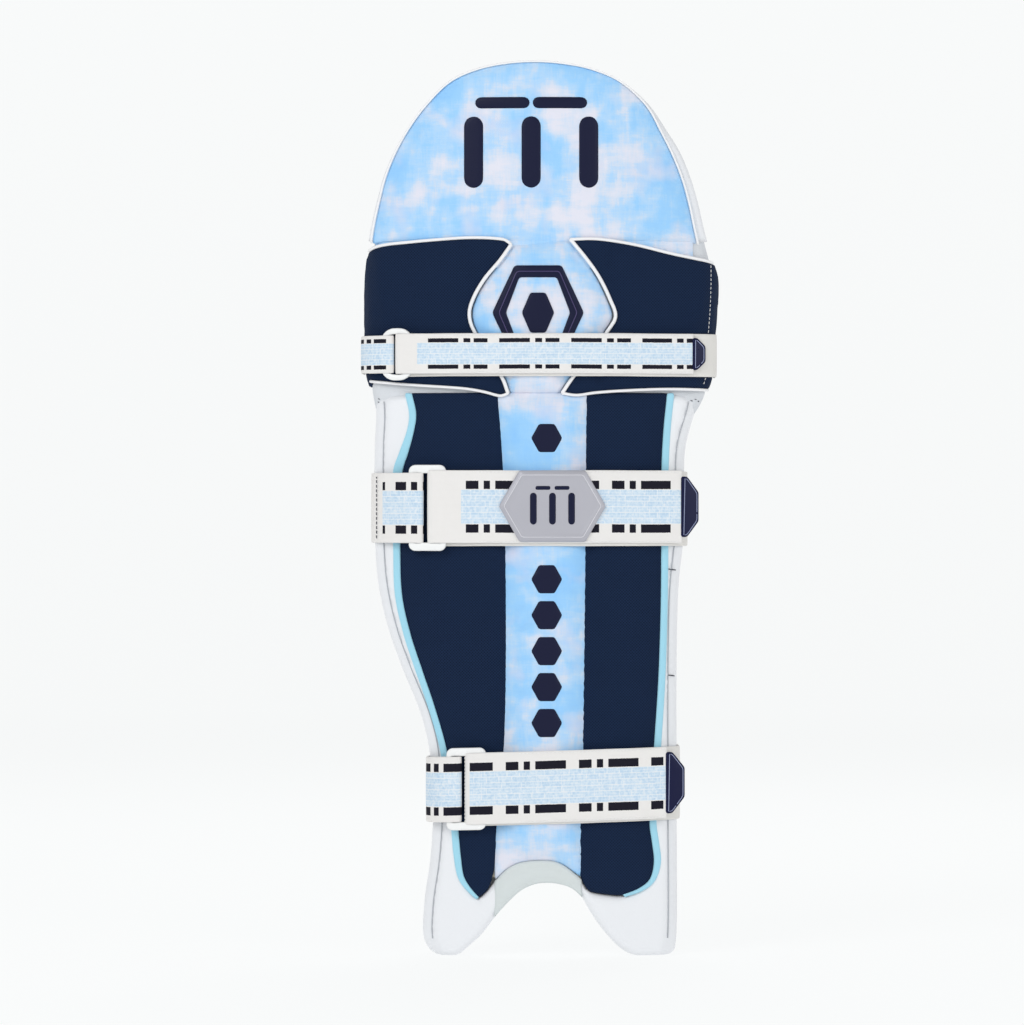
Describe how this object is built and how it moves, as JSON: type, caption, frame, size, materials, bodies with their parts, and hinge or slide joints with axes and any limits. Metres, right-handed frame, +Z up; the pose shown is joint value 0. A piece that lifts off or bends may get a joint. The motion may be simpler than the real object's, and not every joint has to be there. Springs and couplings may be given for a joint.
{
  "type": "cricket batting leg pad",
  "caption": "Cricket batting leg pad with a padded shin, knee roll and top hat that bend over each other, and wrap-over straps that close through loops.",
  "frame": {"origin": "middle of the pad's box in X and Y, at the floor it stands on", "axes": "+Z up along the shin, the front faces -Y, +X to the right seen from the front"},
  "size_m": [0.281, 0.1049, 0.7],
  "materials": {
    "navy_mesh": "matte",
    "sky_canvas": "matte",
    "white_leather": "satin",
    "grey_binding": "matte",
    "white_piping": "satin",
    "blue_trim": "satin",
    "navy_print": "satin",
    "foam": "matte",
    "cane": "satin",
    "lining_fabric": "matte",
    "webbing": "matte",
    "loop_plastic": "satin",
    "tip_plastic": "satin",
    "hook_tape": "matte",
    "badge_silver": "satin"
  },
  "bodies": {
    "shin": {"shin_front_foam": "foam", "shin_canes": "cane", "shin_back_foam": "foam", "shin_lining": "lining_fabric", "ankle_ear_left": "white_leather", "ankle_ear_right": "white_leather", "shin_panel_left": "navy_mesh", "shin_panel_right": "navy_mesh", "shin_spine": "sky_canvas", "spine_motif": "navy_print", "wing_trim_left": "blue_trim", "wing_trim_right": "blue_trim", "instep_binding": "grey_binding", "shin_wing_left": "white_leather", "shin_wing_right": "white_leather", "shin_bolster_left": "lining_fabric", "shin_bolster_right": "lining_fabric", "shin_centre_pad": "lining_fabric", "calf_keeper": "webbing", "calf_strap": "webbing", "ankle_keeper": "webbing", "ankle_strap": "webbing"},
    "knee_roll": {"knee_front_foam": "foam", "knee_canes": "cane", "knee_back_foam": "foam", "knee_lining": "lining_fabric", "knee_flap_left": "navy_mesh", "knee_flap_right": "navy_mesh", "knee_hex_panel": "sky_canvas", "knee_hex_ring": "navy_print", "knee_hex_centre": "navy_print", "knee_piping_left": "white_piping", "knee_piping_right": "white_piping", "knee_bolster_left": "lining_fabric", "knee_bolster_right": "lining_fabric", "knee_keeper": "webbing", "knee_strap": "webbing"},
    "top_hat": {"top_hat_face": "sky_canvas", "top_hat_foam": "foam", "top_hat_lining": "lining_fabric", "top_hat_emblem": "navy_print", "top_hat_wing_left": "white_leather", "top_hat_wing_right": "white_leather"},
    "knee_loop": {"knee_loop": "loop_plastic"},
    "knee_loose_end": {"knee_flap": "webbing", "knee_strap_tip": "tip_plastic", "knee_hook_tape": "hook_tape"},
    "calf_loop": {"calf_loop": "loop_plastic"},
    "calf_loose_end": {"calf_flap": "webbing", "calf_strap_tip": "tip_plastic", "calf_hook_tape": "hook_tape", "calf_badge": "badge_silver", "calf_badge_emblem": "navy_print"},
    "ankle_loop": {"ankle_loop": "loop_plastic"},
    "ankle_loose_end": {"ankle_flap": "webbing", "ankle_strap_tip": "tip_plastic", "ankle_hook_tape": "hook_tape"}
  },
  "joints": [
    {"name": "knee_bend", "type": "hinge", "parent": "shin", "child": "knee_roll", "pos_m": [0, -0.02155, 0.441], "axis": [-1, 0, 0], "range_deg": [0, 20], "stiffness_Nm_per_rad": 3, "springref_deg": -5.73},
    {"name": "top_hat_bend", "type": "hinge", "parent": "knee_roll", "child": "top_hat", "pos_m": [0, -0.02155, 0.557], "axis": [-1, 0, 0], "range_deg": [0, 20], "stiffness_Nm_per_rad": 2, "springref_deg": -5.73},
    {"name": "knee_loop_tilt", "type": "hinge", "parent": "knee_roll", "child": "knee_loop", "pos_m": [-0.12, -0.02991, 0.47], "axis": [0, 0, -1], "range_deg": [0, 20]},
    {"name": "knee_strap_peel", "type": "hinge", "parent": "knee_loop", "child": "knee_loose_end", "pos_m": [-0.1, -0.03596, 0.47], "axis": [0, 0, -1], "range_deg": [0, 120]},
    {"name": "calf_loop_tilt", "type": "hinge", "parent": "shin", "child": "calf_loop", "pos_m": [-0.0988, -0.03628, 0.3505], "axis": [0, 0, -1], "range_deg": [0, 20]},
    {"name": "calf_strap_peel", "type": "hinge", "parent": "calf_loop", "child": "calf_loose_end", "pos_m": [-0.0746, -0.04195, 0.3505], "axis": [0, 0, -1], "range_deg": [0, 120]},
    {"name": "ankle_loop_tilt", "type": "hinge", "parent": "shin", "child": "ankle_loop", "pos_m": [-0.07027, -0.04279, 0.13124], "axis": [0.0279, 0, -0.9996], "range_deg": [0, 20]},
    {"name": "ankle_strap_peel", "type": "hinge", "parent": "ankle_loop", "child": "ankle_loose_end", "pos_m": [-0.04408, -0.04678, 0.13197], "axis": [0.0279, 0, -0.9996], "range_deg": [0, 120]}
  ]
}
